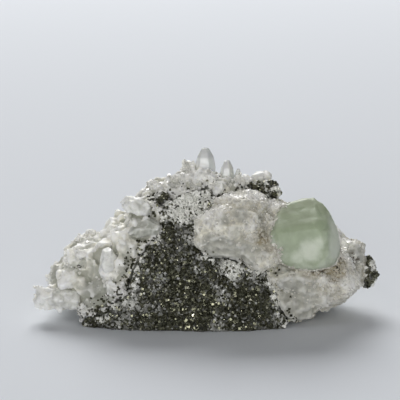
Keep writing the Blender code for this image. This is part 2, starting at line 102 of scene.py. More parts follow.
# Zones: across, up and radius in mm, and strength
CLEAR_ZONES = [
    (-30.5, -28.5, 5.5, 1.0), (-27.0, -30.0, 5.0, 0.9), (-43.5, -21.5, 3.5, 1.0), (-36.0, -33.5, 4.0, 0.7),
    (-33.0, -12.5, 2.2, 0.6), (-24.5, -20.5, 2.5, 0.5), (-20.0, -26.0, 3.0, 0.7), (-41.0, -17.5, 2.0, 0.6),
]
VIOLET_ZONES = [(-16.5, 4.2, 3.2, 0.9), (-20.5, 2.0, 2.4, 0.6), (-9.0, -14.5, 4.0, 0.8)]
CREAM_ZONES = [
    (-9.6, 6.6, 4.0, 1.0), (-2.0, 7.0, 6.0, 1.0), (3.0, 8.5, 5.0, 1.0), (-40.0, -20.0, 3.0, 0.7),
    (-28.5, -20.0, 4.0, 0.6),
]
SPECK_ZONES = [
    (-30.7, -31.9, 1.8, 1.0), (-35.5, -33.5, 2.6, 0.9), (-35.7, -19.6, 1.5, 0.45), (-13.2, -0.6, 2.6, 0.7),
    (-8.5, -0.5, 2.6, 0.5), (-30.0, -34.5, 3.0, 0.8), (-22.0, -34.5, 4.0, 0.9), (-24.0, -26.5, 1.8, 0.4),
    (5.0, 0.5, 2.6, 0.6), (12.5, 3.4, 2.0, 0.4), (17.6, 2.8, 2.6, 1.0), (20.5, 4.0, 2.4, 1.0),
]
ROCK_SUGAR_ZONES = [
    (-3.0, 7.0, 6.0, 1.0), (5.0, 7.5, 5.0, 1.0), (-10.0, 3.5, 4.0, 0.8), (12.0, 5.0, 3.0, 0.8),
    (-14.0, 7.0, 3.0, 0.6), (-33.0, -34.0, 3.0, 0.9), (-40.0, -17.0, 2.5, 0.4), (-24.0, -28.0, 3.0, 0.4),
]
SMOOTH_ZONES = [
    (-38.5, -23.5, 4.0, 0.8), (-31.0, -20.5, 4.0, 0.6), (-25.5, -26.5, 4.0, 0.9), (-22.0, -12.6, 4.5, 0.8),
    (-34.5, -26.5, 4.0, 0.9), (-29.5, -15.0, 4.0, 0.5), (-18.0, -2.6, 3.6, 1.0), (-16.4, -8.2, 5.5, 1.0),
    (-27.2, -19.0, 4.0, 1.0), (-45.0, -29.0, 4.0, 1.0), (5.4, 3.4, 3.0, 1.0), (18.5, 3.5, 4.5, 1.0),
    (-3.5, 10.5, 2.0, 1.0), (8.5, 6.0, 4.0, 1.0), (1.6, 8.5, 3.0, 0.9), (12.5, 3.5, 3.0, 0.8),
    (17.8, 6.4, 4.5, 1.0), (13.4, 6.4, 3.0, 1.0),
]
CRUST_SUGAR_ZONES = [
    (-9.0, 1.5, 5.5, 1.0), (-1.5, 1.5, 6.5, 1.0), (-6.0, -3.5, 4.5, 1.0), (-6.5, -15.0, 4.2, 0.35),
    (0.0, -3.0, 4.0, 0.8), (-13.0, -25.0, 3.0, 0.4), (9.5, -20.0, 4.0, 0.9), (20.5, -20.5, 4.5, 0.5),
    (-21.5, -29.5, 4.5, 0.6), (-3.0, -11.0, 3.5, 0.5), (24.0, -24.5, 3.6, 0.7), (24.8, -30.0, 3.4, 0.7),
    (23.5, -35.0, 3.0, 0.5), (16.0, -22.0, 3.0, 0.5), (-19.5, -21.0, 2.6, 0.6), (-20.5, -25.0, 2.6, 0.6),
]
# Smooth grey calcite; on the lobe's lower lip and near the low right foot the grey is partly painted shade
GREY_AND_SHADE_CALCITE_ZONES = [
    (6.0, -15.0, 6.0, 1.0), (12.0, -16.5, 5.0, 1.0), (6.5, -5.5, 2.6, 0.7), (12.0, -4.0, 3.0, 0.7),
    (10.0, -10.0, 3.0, 0.6), (18.0, -15.5, 3.5, 0.6), (29.0, -26.5, 6.0, 0.8), (28.5, -33.0, 6.0, 1.0),
    (35.0, -31.0, 5.0, 0.6), (24.5, -20.5, 3.5, 0.7), (46.5, -16.0, 3.5, 0.9), (25.0, -25.0, 3.0, 0.9),
    (26.0, -30.0, 3.4, 0.9), (26.0, -36.0, 4.0, 0.9),
]
BRIGHT_CALCITE_ZONES = [
    (8.5, 1.2, 3.2, 1.0), (15.5, 1.5, 3.4, 1.0), (3.6, -4.0, 4.0, 0.8), (21.0, -1.0, 3.2, 1.0),
    (22.0, -6.0, 2.4, 0.8), (41.0, -11.5, 3.4, 1.0), (44.0, -7.0, 2.4, 0.8), (43.0, -12.5, 3.0, 1.0),
    (45.0, -18.0, 3.0, 1.0), (37.5, -23.0, 3.0, 0.6), (44.0, -24.5, 4.0, 0.7), (38.0, -30.0, 3.5, 0.6),
    (14.5, -7.5, 2.2, 0.6),
]
BROWN_ZONES = [
    (18.6, -10.8, 3.0, 0.8), (20.4, -14.0, 2.4, 0.5), (39.5, -20.2, 4.0, 1.0), (34.5, -20.2, 2.6, 0.9),
    (44.5, -19.5, 2.4, 0.35), (11.0, -6.5, 5.0, 0.2), (32.0, -22.0, 2.6, 0.5), (40.0, -27.0, 3.5, 0.35),
    (9.0, -1.5, 4.0, 0.1), (46.5, -9.8, 2.5, 0.5),
]
CALCITE_SPECK_ZONES = [
    (40.5, -19.2, 3.0, 0.7), (35.0, -20.8, 2.0, 0.6), (45.6, -17.5, 2.0, 0.6), (18.8, -10.8, 2.2, 0.35),
    (33.0, -21.5, 1.8, 0.5), (46.5, -9.5, 2.6, 0.5),
]
PALE_FLUORITE_ZONES = [
    (32.5, -15.0, 3.4, 1.0), (35.0, -13.0, 2.2, 0.8), (29.0, -17.0, 2.4, 0.7), (24.0, -16.5, 2.6, 0.5),
    (39.0, -4.0, 4.0, 0.9), (39.8, -9.0, 4.5, 1.0), (39.5, -14.0, 4.5, 1.0), (30.0, -20.0, 4.0, 0.5),
    (37.0, -19.0, 3.0, 0.5),
]
DARK_FLUORITE_ZONES = [
    (26.0, -3.0, 3.0, 1.0), (31.5, -0.5, 3.4, 1.0), (35.5, -1.5, 2.6, 0.9), (29.0, -5.0, 4.0, 0.6),
]

# Points of clear quartz: across in the view, width, lowest and highest place and depth, in mm
QUARTZ_POINTS = {
    "quartz_point_tall": [(1.6, 6.2, 37.0, 48.5, 2.4)],
    "quartz_point_pair": [(8.0, 4.6, 35.0, 44.9, 1.9), (11.2, 2.6, 35.0, 42.4, 1.9)],
}
# Cloudy crystals: how grey they are, from 0 to 1, the rounds of smoothing they get, and their slot
CLOUDY_CRYSTALS = {
    "quartz_crystal_tip": (0.25, 90, "clear_quartz"),
    "quartz_crystal_bright": (0.0, 5, "clear_quartz"),
    "quartz_crystal_lens": (0.9, 3, "white_quartz"),
    "quartz_crystal_wedge": (0.3, 3, "white_quartz"),
    "quartz_block": (0.3, 3, "white_quartz"),
    "calcite_cap": (0.0, 80, "white_quartz"),
}
PYRITE_KNOTS = ("pyrite_cluster_top", "pyrite_cluster_right", "pyrite_crystal_pocket")

# The facets broken into the rock, size and height, and the share of faces it keeps after that
ROCK_FACETS = ((6.0 * MM, 1.2 * MM), (2.4 * MM, 0.45 * MM), (1.1 * MM, 0.06 * MM))
KEPT_FACES = 0.7

# The shapes of the grains
POINTS = ("point",)
PALE_GRAINS = ("chip", "cube")
DARK_GRAINS = ("cube", "chip")


def length_setting(name, description, default):
    """A setting for a length, in metres."""
    return FloatProperty(name=name, description=description, default=default, unit="LENGTH", precision=5)


def colour_setting(name, description, default):
    """A setting for a colour."""
    return FloatVectorProperty(name=name, description=description, default=default, subtype="COLOR")


def number_setting(name, description, default):
    """A setting for a plain number."""
    return FloatProperty(name=name, description=description, default=default)


class RockSettings(bpy.types.PropertyGroup):
    """Sizes and colours of the quartz rock."""

    skin: length_setting("Skin", "Mesh size of the rock", 0.42 * MM)
    ruggedness: length_setting("Ruggedness", "Height of the small lumps", 0.7 * MM)
    white: colour_setting("White", "Colour of the white quartz", (0.97, 0.955, 0.895))
    cream: colour_setting("Cream", "Colour of the cream quartz", (0.86, 0.835, 0.745))
    grey: colour_setting("Grey", "Colour of the clear grey quartz", (0.45, 0.45, 0.40))


class PyriteSettings(bpy.types.PropertyGroup):
    """Sizes and colours of the pyrite grains."""

    smallest: length_setting("Smallest grain", "Width of the smallest grains", 0.35 * MM)
    largest: length_setting("Largest grain", "Width of the largest grains", 0.8 * MM)
    dark: colour_setting("Dark", "Colour of tarnished pyrite", (0.062, 0.062, 0.042))
    brassy: colour_setting("Brassy", "Colour of fresh pyrite", (0.62, 0.59, 0.46))


class CalciteSettings(bpy.types.PropertyGroup):
    """Sizes and colours of the calcite."""

    skin: length_setting("Skin", "Mesh size of the calcite", 0.36 * MM)
    white: colour_setting("White", "Colour of the calcite", (0.85, 0.815, 0.69))
    stain: colour_setting("Stain", "Colour of the brown stain", (0.37, 0.315, 0.205))


class FluoriteSettings(bpy.types.PropertyGroup):
    """Colours and optics of the fluorite."""

    green: colour_setting("Green", "Colour of the fluorite", (0.44, 0.51, 0.35))
    pale: colour_setting("Pale", "Colour of its cloudy zones", (0.86, 0.91, 0.77))
    ior: number_setting("IOR", "Index of refraction", 1.434)
    absorption: number_setting("Absorption", "Density of its green", 30.0)


class StageSettings(bpy.types.PropertyGroup):
    """The floor and the light."""

    floor: colour_setting("Floor", "Colour of the floor", (0.74, 0.765, 0.80))
    window: number_setting("Window", "Power of the soft light from behind, in watts", 72.0)
    fill: number_setting("Fill", "Power of the low light from the front, in watts", 12.8)
    sky: number_setting("Sky", "Strength of the soft light all round", 0.25)


SETTINGS = {
    "rock": RockSettings,
    "pyrite": PyriteSettings,
    "calcite": CalciteSettings,
    "fluorite": FluoriteSettings,
    "stage": StageSettings,
}


def settings(name):
    """One of the groups of settings."""
    return getattr(bpy.context.scene, "specimen_" + name)


# Places on the specimen


def surface_of(nodes):
    """A search tree over the solids with these names."""
    points, faces = [], []
    for node in nodes:
        mesh = frame["nodes"][node].data
        start = len(points)
        points.extend(v.co.copy() for v in mesh.vertices)
        faces.extend([start + k for k in p.vertices] for p in mesh.polygons)
    return BVHTree.FromPolygons(points, faces)


WHOLE = surface_of(frame["nodes"])


def in_view(across, up, y=0.0):
    """The place in the view, in mm, at this depth in metres."""
    ray = AIM + (Vector((across, 0.0, 0.0)) + UP_IN_VIEW * up) * MM - EYE
    return EYE + ray * ((y - EYE.y) / ray.y)


def seen(across, up):
    """Where the line of sight at a place in the view meets the specimen or comes nearest to it."""
    hit = WHOLE.ray_cast(EYE, (in_view(across, up) - EYE).normalized())[0]
    if hit is None:
        hit = WHOLE.find_nearest(in_view(across, up))[0]
    return hit


def places(piece):
    """The vertices' places as an array."""
    co = np.empty(len(piece.data.vertices) * 3, np.float32)
    piece.data.vertices.foreach_get("co", co)
    return co.reshape(-1, 3)


def store(piece, name, values):
    """Keeps a value for each vertex on the piece."""
    attribute = piece.data.attributes.new(name, "FLOAT", "POINT")
    attribute.data.foreach_set("value", np.asarray(values, np.float32))


def zone_values(piece, zones):
    """How strongly each vertex belongs to the zones: fully to half a radius, not at all past 1.5 radii."""
    co = places(piece)
    values = np.zeros(len(co))
    for across, up, radius, strength in zones:
        away = np.linalg.norm(co - np.array(seen(across, up)), axis=1) / (radius * MM)
        values = np.maximum(values, strength * np.clip(1.5 - away, 0, 1))
    return values


def patches(piece, size, seed):
    """Smooth random patches of this size over the piece, from 0 to 1."""
    shift = Vector((seed, seed * 2.0, seed * 3.0))
    return np.array([0.5 + 0.5 * noise.noise(Vector(p) / size + shift) for p in places(piece)])


def drifts(piece, size, seed, start, steepness, least=0, most=1):
    """Patches with a border: they start at a value of the noise and rise from it this steeply."""
    return np.clip((patches(piece, size, seed) - start) * steepness, least, most)


def front_values(piece):
    """1 on the display side, falling to 0 at the back."""
    return np.clip((FRONT_ENDS - places(piece)[:, 1]) / FRONT_FADES, 0, 1)


def open_values(piece, *own, reach=NEAR_SOLID):
    """1 where the surface is open to the air, 0 where the floor or a solid not its own covers it."""
    tree = surface_of([node for node in frame["nodes"] if node not in own])
    values = np.zeros(len(piece.data.vertices))
    for k, vert in enumerate(piece.data.vertices):
        if vert.co.z > NEAR_FLOOR and tree.ray_cast(vert.co, vert.normal, reach)[0] is None:
            values[k] = 1.0
    return values


def near_values(piece, node, reach):
    """1 where the surface touches another solid, falling to 0 at this reach."""
    tree = surface_of([node])
    away = [tree.find_nearest(vert.co)[3] for vert in piece.data.vertices]
    return np.clip(1 - np.array(away) / reach, 0, 1)


def crust_border(piece, reach):
    """The ragged border over which the grains of the crust stray on to another stone."""
    ragged = drifts(piece, 1.6 * MM, seed=4.0, start=0.4, steepness=5)
    return near_values(piece, "pyrite_crust", reach) * ragged


def hollow_values(piece, rounds, depth):
    """1 in the hollows, -1 on the ridges and corners, 0 where the surface is flat."""
    co = places(piece).astype(float)
    edges = np.empty(len(piece.data.edges) * 2, np.int32)
    piece.data.edges.foreach_get("vertices", edges)
    one, two = edges.reshape(-1, 2).T
    neighbours = np.bincount(edges, minlength=len(co))
    level = co
    for _ in range(rounds):
        sums = [np.bincount(one, a[two], len(co)) + np.bincount(two, a[one], len(co)) for a in level.T]
        level = np.stack(sums, 1) / neighbours[:, None]
    normals = np.empty(len(co) * 3, np.float32)
    piece.data.vertices.foreach_get("normal", normals)
    return np.clip(((level - co) * normals.reshape(-1, 3)).sum(1) / depth, -1, 1)


# Modelling


def only(obj):
    """Makes one object the selected and active one."""
    bpy.ops.object.select_all(action="DESELECT")
    obj.select_set(True)
    bpy.context.view_layer.objects.active = obj


def copied(piece, name):
    """Another piece with the same mesh."""
    other = bpy.data.objects.new(name, piece.data.copy())
    bpy.context.scene.collection.objects.link(other)
    return other


def copy_of(node, name):
    """A new piece with a solid's mesh, merged into one skin."""
    piece = copied(frame["nodes"][node], name)
    piece.data.name = name
    piece.data.materials.clear()
    only(piece)
    bpy.ops.object.mode_set(mode="EDIT")
    bpy.ops.mesh.select_all(action="SELECT")
    bpy.ops.mesh.remove_doubles(threshold=SAME_PLACE)
    bpy.ops.mesh.customdata_custom_splitnormals_clear()
    bpy.ops.object.mode_set(mode="OBJECT")
    return piece


def shaped(piece, kind, **values):
    """Adds a modifier with these values and applies it."""
    modifier = piece.modifiers.new(kind.title(), kind)
    for key, value in values.items():
        setattr(modifier, key, value)
    only(piece)
    bpy.ops.object.modifier_apply(modifier=modifier.name)


def carved(piece, kind, size, height):
    """Adds relief with lumps of this size: soft ones, or flat-sided ones that meet in creases."""
    texture = bpy.data.textures.new(piece.name, "CLOUDS" if kind == "soft" else "VORONOI")
    texture.noise_scale = size
    if kind == "faceted":
        texture.distance_metric = "MANHATTAN"
        height = -height
    shaped(piece, "DISPLACE", texture=texture, strength=height, mid_level=0.5, texture_coords="LOCAL")


def natural_skin(node, name, skin, smoothing, growth=0.0, relief=()):
    """A piece from a solid, with a fine skin and layers of relief: kind, size and height."""
    piece = copy_of(node, name)
    shaped(piece, "REMESH", mode="VOXEL", voxel_size=skin)
    shaped(piece, "SMOOTH", factor=0.5, iterations=smoothing)
    if growth:
        shaped(piece, "DISPLACE", strength=growth, mid_level=0.0)
    for layer in relief:
        carved(piece, *layer)
    rest_on_floor(piece)
    return piece


def rest_on_floor(piece):
    """Keeps a piece from reaching under the floor."""
    for vert in piece.data.vertices:
        vert.co.z = max(vert.co.z, 0.0)


def joined(*pieces):
    """Joins pieces into the first of them."""
    bpy.ops.object.select_all(action="DESELECT")
    for piece in pieces:
        piece.select_set(True)
    bpy.context.view_layer.objects.active = pieces[0]
    bpy.ops.object.join()
    return pieces[0]


def finish_piece(piece, material, slot, *nodes, angle=None):
    """Gives a piece its finish and its place in the frame."""
    piece.data.materials.clear()
    piece.data.materials.append(material)
    only(piece)
    if angle is None:
        bpy.ops.object.shade_smooth()
    else:
        bpy.ops.object.shade_smooth_by_angle(angle=angle)
    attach(piece, "root")
    if nodes:
        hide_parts(*nodes)


def draw_to_point(prism, steps):
    """Draws a prism's top up in steps: the rise, and the share of the width left across and along."""
    bpy.ops.object.mode_set(mode="EDIT")
    bpy.ops.mesh.select_all(action="DESELECT")
    mesh = bmesh.from_edit_mesh(prism.data)
    for face in mesh.faces:
        face.select = face.normal.z > LOOKS_UP
    bmesh.update_edit_mesh(prism.data)
    for rise, across, along in steps:
        bpy.ops.mesh.extrude_region_move(TRANSFORM_OT_translate={"value": (0, 0, rise)})
        bpy.ops.transform.resize(value=(across, along, 1.0))


def grain(name, kind):
    """A small crystal, one unit wide, to be spread over the stone."""
    bpy.ops.object.select_all(action="DESELECT")
    if kind == "cube":
        bpy.ops.mesh.primitive_cube_add(size=0.9)
    elif kind == "chip":
        bpy.ops.mesh.primitive_ico_sphere_add(subdivisions=1, radius=0.55)
        bpy.ops.object.mode_set(mode="EDIT")
        bpy.ops.transform.resize(value=(1.0, 0.8, 0.9))
        bpy.ops.object.mode_set(mode="OBJECT")
    else:
        bpy.ops.mesh.primitive_cylinder_add(vertices=6, radius=0.5, depth=1.2, location=(0, 0, -0.5))
        bpy.ops.object.transform_apply(location=True, rotation=False, scale=False)
        draw_to_point(bpy.context.object, [(0.38, 0.3, 0.45)])
        bpy.ops.mesh.select_all(action="SELECT")
        bpy.ops.mesh.bevel(offset=0.035, segments=1)
        bpy.ops.object.mode_set(mode="OBJECT")
    made = bpy.context.object
    made.name = name
    return made


def quartz_point(name, place, width, low, high):
    """A six-sided crystal with a rounded point, at a place in plan, between two heights."""
    bpy.ops.object.select_all(action="DESELECT")
    body, shoulder, tip = (share * (high - low) for share in (0.5, 0.28, 0.22))
    middle, turn = (*place, low + body / 2), (0, 0, 0.35)
    bpy.ops.mesh.primitive_cylinder_add(
        vertices=6, radius=width / 2, depth=body, location=middle, rotation=turn
    )
    piece = bpy.context.object
    piece.name = name
    bpy.ops.object.transform_apply(location=True, rotation=True, scale=True)
    draw_to_point(piece, [(shoulder, 0.80, 0.80), (tip, 0.40, 0.40)])
    bpy.ops.object.mode_set(mode="OBJECT")
    shaped(piece, "REMESH", mode="VOXEL", voxel_size=0.16 * MM)
    shaped(piece, "SMOOTH", factor=0.5, iterations=8)
    carved(piece, "soft", 2.5 * MM, 0.25 * MM)
    return piece


# Nodes


class Nodes:
    """A node tree in the making."""

    def __init__(self, tree):
        self.tree = tree

    def node(self, kind, inputs=(), **values):
        """A new node with these values, its inputs set to a constant or linked to a socket."""
        made = self.tree.nodes.new(kind)
        for key, value in values.items():
            setattr(made, key, value)
        for key, value in dict(inputs).items():
            if isinstance(value, bpy.types.NodeSocket):
                self.tree.links.new(value, made.inputs[key])
            else:
                made.inputs[key].default_value = value
        return made

    def link(self, source, target):
        """Links two sockets."""
        self.tree.links.new(source, target)


def random_value(g, kind, low, high, seed):
    """A random value for each grain."""
    first = {"FLOAT_VECTOR": 0, "FLOAT": 2, "INT": 4}[kind]
    made = g.node("FunctionNodeRandomValue", {first: low, first + 1: high, "Seed": seed}, data_type=kind)
    return made.outputs[first // 2]


def growth_tree(name, kit, mask, per_mm2, widths, sink, seed, lean, stretch):
    """Nodes that grow the small crystals of a kit over a stone where its mask is strong."""
    g = Nodes(bpy.data.node_groups.new(name, "GeometryNodeTree"))
    for in_out in ("INPUT", "OUTPUT"):
        g.tree.interface.new_socket("Geometry", in_out=in_out, socket_type="NodeSocketGeometry")
    stone = g.node("NodeGroupInput").outputs["Geometry"]
    strength = g.node("GeometryNodeInputNamedAttribute", {"Name": mask}, data_type="FLOAT")
    density = g.node(
        "ShaderNodeMath", {0: strength.outputs["Attribute"], 1: per_mm2 / MM**2}, operation="MULTIPLY"
    )
    points = g.node(
        "GeometryNodeDistributePointsOnFaces", {"Mesh": stone, "Density": density.outputs[0], "Seed": seed}
    )
    depth = g.node("ShaderNodeVectorMath", {0: points.outputs["Normal"], "Scale": -sink}, operation="SCALE")
    sunk = g.node(
        "GeometryNodeSetPosition", {"Geometry": points.outputs["Points"], "Offset": depth.outputs[0]}
    )
    turn = random_value(g, "FLOAT_VECTOR", (-lean, -lean, -math.pi), (lean, lean, math.pi), seed)
    tip = g.node("FunctionNodeEulerToRotation", {0: turn})
    turned = g.node(
        "FunctionNodeRotateRotation",
        {"Rotation": points.outputs["Rotation"], "Rotate By": tip.outputs[0]},
        rotation_space="LOCAL",
    )
    least, most = stretch
    stretched = random_value(g, "FLOAT_VECTOR", (least,) * 3, (most,) * 3, seed + 1)
    width = random_value(g, "FLOAT", *widths, seed + 2)
    uneven = g.node("ShaderNodeVectorMath", {0: stretched, "Scale": width}, operation="SCALE")
    shapes = g.node(
        "GeometryNodeCollectionInfo", {"Collection": kit, "Separate Children": True, "Reset Children": True}
    )
    placed = g.node(
        "GeometryNodeInstanceOnPoints",
        {
            "Points": sunk.outputs[0],
            "Instance": shapes.outputs[0],
            "Pick Instance": True,
            "Instance Index": random_value(g, "INT", 0, len(kit.objects) - 1, seed + 3),
            "Rotation": turned.outputs[0],
            "Scale": uneven.outputs[0],
        },
    )
    shade = random_value(g, "FLOAT", 0.0, 1.0, seed + 4)
    shaded = g.node(
        "GeometryNodeStoreNamedAttribute",
        {"Geometry": placed.outputs[0], "Name": "shade", "Value": shade},
        data_type="FLOAT",
        domain="INSTANCE",
    )
    real = g.node("GeometryNodeRealizeInstances", {0: shaded.outputs[0]})
    g.node("NodeGroupOutput", {0: real.outputs[0]})
    return g.tree


def spread(carrier, name, kinds, mask, per_mm2, widths, sink, seed, lean=math.pi, stretch=(0.8, 1.2)):
    """Grows small crystals over a carrier where its mask is strong, joined in one mesh."""
    templates = [grain(f"{name}_{kind}", kind) for kind in kinds]
    kit = bpy.data.collections.new(name)
    bpy.context.scene.collection.children.link(kit)
    for template in templates:
        kit.objects.link(template)
    piece = copied(carrier, name)
    tree = growth_tree(name, kit, mask, per_mm2, widths, sink, seed, lean, stretch)
    shaped(piece, "NODES", node_group=tree)
    rest_on_floor(piece)
    for template in templates:
        bpy.data.objects.remove(template)
    bpy.data.collections.remove(kit)
    bpy.data.node_groups.remove(tree)
    return piece


def sprinkle(carrier, name, finish, slot, kinds, mask, **grains):
    """Spreads grains over a carrier as a finished piece."""
    piece = spread(carrier, name, kinds, mask, **grains)
    finish_piece(piece, finish(), slot, angle=GRAIN_EDGE)


# Finishes


def solid(colour):
    """A colour with its alpha, or the socket that gives a colour."""
    return colour if isinstance(colour, bpy.types.NodeSocket) else (*colour, 1)


class Finish(Nodes):
    """A material in the making, with its nodes."""

    def __init__(self, name, **values):
        self.material = bpy.data.materials.new(name)
        self.material.use_nodes = True
        super().__init__(self.material.node_tree)
        self.shader = self.tree.nodes["Principled BSDF"]
        self.coordinates = self.node("ShaderNodeTexCoord").outputs["Object"]
        for key, value in values.items():
            self.shader.inputs[key.replace("_", " ")].default_value = value

    def clouds(self, size, detail=2.0, rough=0.5):
        """Soft noise of this size."""
        made = self.node(
            "ShaderNodeTexNoise",
            {"Vector": self.coordinates, "Scale": 1 / size, "Detail": detail, "Roughness": rough},
        )
        return made.outputs["Fac"]

    def cells(self, size):
        """A random value for each cell of this size."""
        made = self.node("ShaderNodeTexVoronoi", {"Vector": self.coordinates, "Scale": 1 / size})
        return self.node("ShaderNodeSeparateColor", {0: made.outputs["Color"]}).outputs[0]

    def stored(self, name):
        """A value kept on the piece."""
        return self.node("ShaderNodeAttribute", attribute_name=name).outputs["Fac"]

    def maths(self, operation, one, two):
        """One number from two."""
        return self.node("ShaderNodeMath", {0: one, 1: two}, operation=operation).outputs[0]

    def between(self, value, low, high, start=0.0, end=1.0):
        """A value's share of the way from low to high, softened at both ends."""
        made = self.node(
            "ShaderNodeMapRange",
            {"Value": value, "From Min": low, "From Max": high, "To Min": start, "To Max": end},
            interpolation_type="SMOOTHSTEP",
        )
        return made.outputs[0]

    def ragged(self, value, size, raggedness, rough=0.5):
        """A value with its borders frayed by noise of this size."""
        fray = self.maths("SUBTRACT", self.clouds(size, detail=4.0, rough=rough), 0.5)
        return self.maths("ADD", self.stored(value), self.maths("MULTIPLY", fray, raggedness))

    def zone(self, name, size=2.0 * MM, raggedness=0.6):
        """A stored zone with a ragged border."""
        return self.between(self.ragged(name, size, raggedness), 0.25, 0.75)

    def ramp(self, value, *stops):
        """Colours along a value."""
        made = self.node("ShaderNodeValToRGB", {0: value})
        elements = made.color_ramp.elements
        while len(elements) < len(stops):
            elements.new(0.5)
        for element, (at, colour) in zip(elements, stops):
            element.position = at
            element.color = (*colour, 1)
        return made.outputs[0]

    def mixed(self, share, one, two, blend="MIX"):
        """Two colours mixed."""
        inputs = {0: share, 6: solid(one), 7: solid(two)}
        return self.node("ShaderNodeMix", inputs, data_type="RGBA", blend_type=blend).outputs[2]

    def tinted(self, colour, where, strength, tint):
        """A colour that takes on a tint in a zone, at this strength."""
        return self.mixed(self.maths("MULTIPLY", where, strength), colour, tint)

    def specked(self, colour, size, tint, crowding, softness):
        """A colour with specks of this size, which crowd in the stored zones."""
        crowded = self.maths("ADD", self.cells(size), self.maths("MULTIPLY", self.stored("speck"), crowding))
        return self.mixed(self.between(crowded, 1.0, 1.0 + softness), colour, tint)

    def sugary(self, colour, size, contrast):
        """A colour broken up into fine grains."""
        dull, bright = (0.1, (0.78,) * 3), (0.9, (1.15,) * 3)
        return self.mixed(contrast, colour, self.ramp(self.cells(size), dull, bright), "MULTIPLY")

    def painted_shade_and_highlight(self, colour, dark, strength, pale):
        """A colour with painted shade, dark in the hollows, and a painted highlight, pale on the ridges."""
        hollow = self.stored("hollow")
        colour = self.mixed(self.between(hollow, 0.0, 1.0, 0.0, strength), colour, dark)
        return self.mixed(self.between(hollow, 0.0, -1.0, 0.0, pale), colour, (1.0, 0.99, 0.95))

    def coloured(self, colour):
        """Sets the colour."""
        self.link(colour, self.shader.inputs["Base Color"])

    def bumpy(self, height, depth, strength=1.0):
        """Raises a relief too fine to be modelled."""
        made = self.node("ShaderNodeBump", {"Height": height, "Distance": depth, "Strength": strength})
        self.link(made.outputs[0], self.shader.inputs["Normal"])

    def absorbing(self, colour, density):
        """Tints what is seen through the crystal."""
        volume = self.node("ShaderNodeVolumeAbsorption", {"Color": solid(colour), "Density": density})
        self.link(volume.outputs[0], self.tree.nodes["Material Output"].inputs["Volume"])


def milky(name, **values):
    """A cloudy, slightly see-through stone finish."""
    cloudy = {
        "Roughness": 0.5, "IOR": 1.5, "Subsurface_Weight": 0.5, "Subsurface_Scale": 1.8 * MM,
        "Subsurface_Radius": (1.0, 1.0, 0.9),
    }
    return Finish(name, **{**cloudy, **values})


def rock_finish():
    """Milky quartz: white, cream and clear grey patches, fine grain, dark specks, painted shade and
    highlight.
    """
    s = settings("rock")
    bright_cream, violet_grey, painted_shade_grey = (1.0, 0.975, 0.90), (0.46, 0.44, 0.43), (0.42, 0.425, 0.355)
    earth, black = (0.31, 0.285, 0.22), (0.05, 0.045, 0.03)
    f = milky("milky quartz")
    colour = f.ramp(f.clouds(9.0 * MM, detail=3.0), (0.32, s.grey), (0.44, s.cream), (0.58, s.white))
    colour = f.mixed(f.zone("clear"), colour, s.grey)
    colour = f.mixed(f.zone("cream", raggedness=0.4), colour, bright_cream)
    # A violet grey in the violet zones
    colour = f.tinted(colour, f.zone("violet"), 0.6, violet_grey)
    fine = f.clouds(0.9 * MM, detail=3.0, rough=0.6)
    grain_light = f.ramp(fine, (0.3, (0.84, 0.84, 0.82)), (0.65, (1.08, 1.08, 1.08)))
    colour = f.mixed(0.75, colour, grain_light, "MULTIPLY")
    colour = f.sugary(colour, 0.7 * MM, contrast=0.3)
    # Painted shade: grey in the hollows; painted highlight: near white on the ridges
    colour = f.painted_shade_and_highlight(colour, painted_shade_grey, strength=0.75, pale=0.6)
    earthy_patches = f.between(f.clouds(7.0 * MM, detail=4.0, rough=0.6), 0.35, 0.62)
    colour = f.tinted(colour, f.stored("earthy"), earthy_patches, earth)
    f.coloured(f.specked(colour, 0.8 * MM, black, crowding=0.8, softness=0.15))
    f.bumpy(fine, depth=0.25 * MM, strength=0.5)
    return f.material


def druse_finish():
    """Small quartz crystals, each a little different."""
    f = milky("small quartz crystals", Roughness=0.28)
    colour = f.ramp(
        f.stored("shade"), (0.0, (0.74, 0.735, 0.66)), (0.4, (0.90, 0.885, 0.81)), (0.8, (0.96, 0.945, 0.88)),
        (1.0, (0.98, 0.975, 0.94)),
    )
    f.coloured(colour)
    return f.material


def sugar_finish():
    """Fine quartz grains between the pyrite, grey to white."""
    f = Finish("quartz sugar", Roughness=0.22, IOR=1.544)
    shade = f.stored("shade")
    grey = f.ramp(
        shade, (0.0, (0.05, 0.05, 0.045)), (0.45, (0.14, 0.14, 0.13)), (0.8, (0.28, 0.28, 0.26)),
        (1.0, (0.55, 0.55, 0.52)),
    )
    white = f.ramp(shade, (0.0, (0.48, 0.48, 0.44)), (0.35, (0.80, 0.80, 0.74)), (1.0, (0.98, 0.97, 0.93)))
    f.coloured(f.mixed(f.between(f.stored("sugar"), 0.35, 0.8), grey, white))
    return f.material


def pyrite_finish():
    """Pyrite grains, from tarnished to brassy."""
    s = settings("pyrite")
    f = Finish("pyrite grains", Metallic=0.9, Roughness=0.24)
    colour = f.ramp(
        f.stored("shade"), (0.0, s.dark), (0.55, (0.140, 0.140, 0.096)), (0.985, (0.22, 0.215, 0.15)),
        (0.996, s.brassy),
    )
    f.coloured(colour)
    return f.material


def bed_finish():
    """The dark ground that the grains grow from."""
    f = Finish("dark ground", Roughness=0.6, Metallic=0.2)
    fine = f.clouds(0.7 * MM, detail=3.0)
    dark = f.ramp(fine, (0.35, (0.025, 0.025, 0.018)), (0.7, (0.12, 0.12, 0.10)))
    pale = f.ramp(fine, (0.35, (0.22, 0.22, 0.20)), (0.7, (0.58, 0.58, 0.54)))
    f.coloured(f.mixed(f.between(f.stored("pale"), 0.25, 0.8), dark, pale))
    f.bumpy(fine, depth=0.3 * MM)
    return f.material


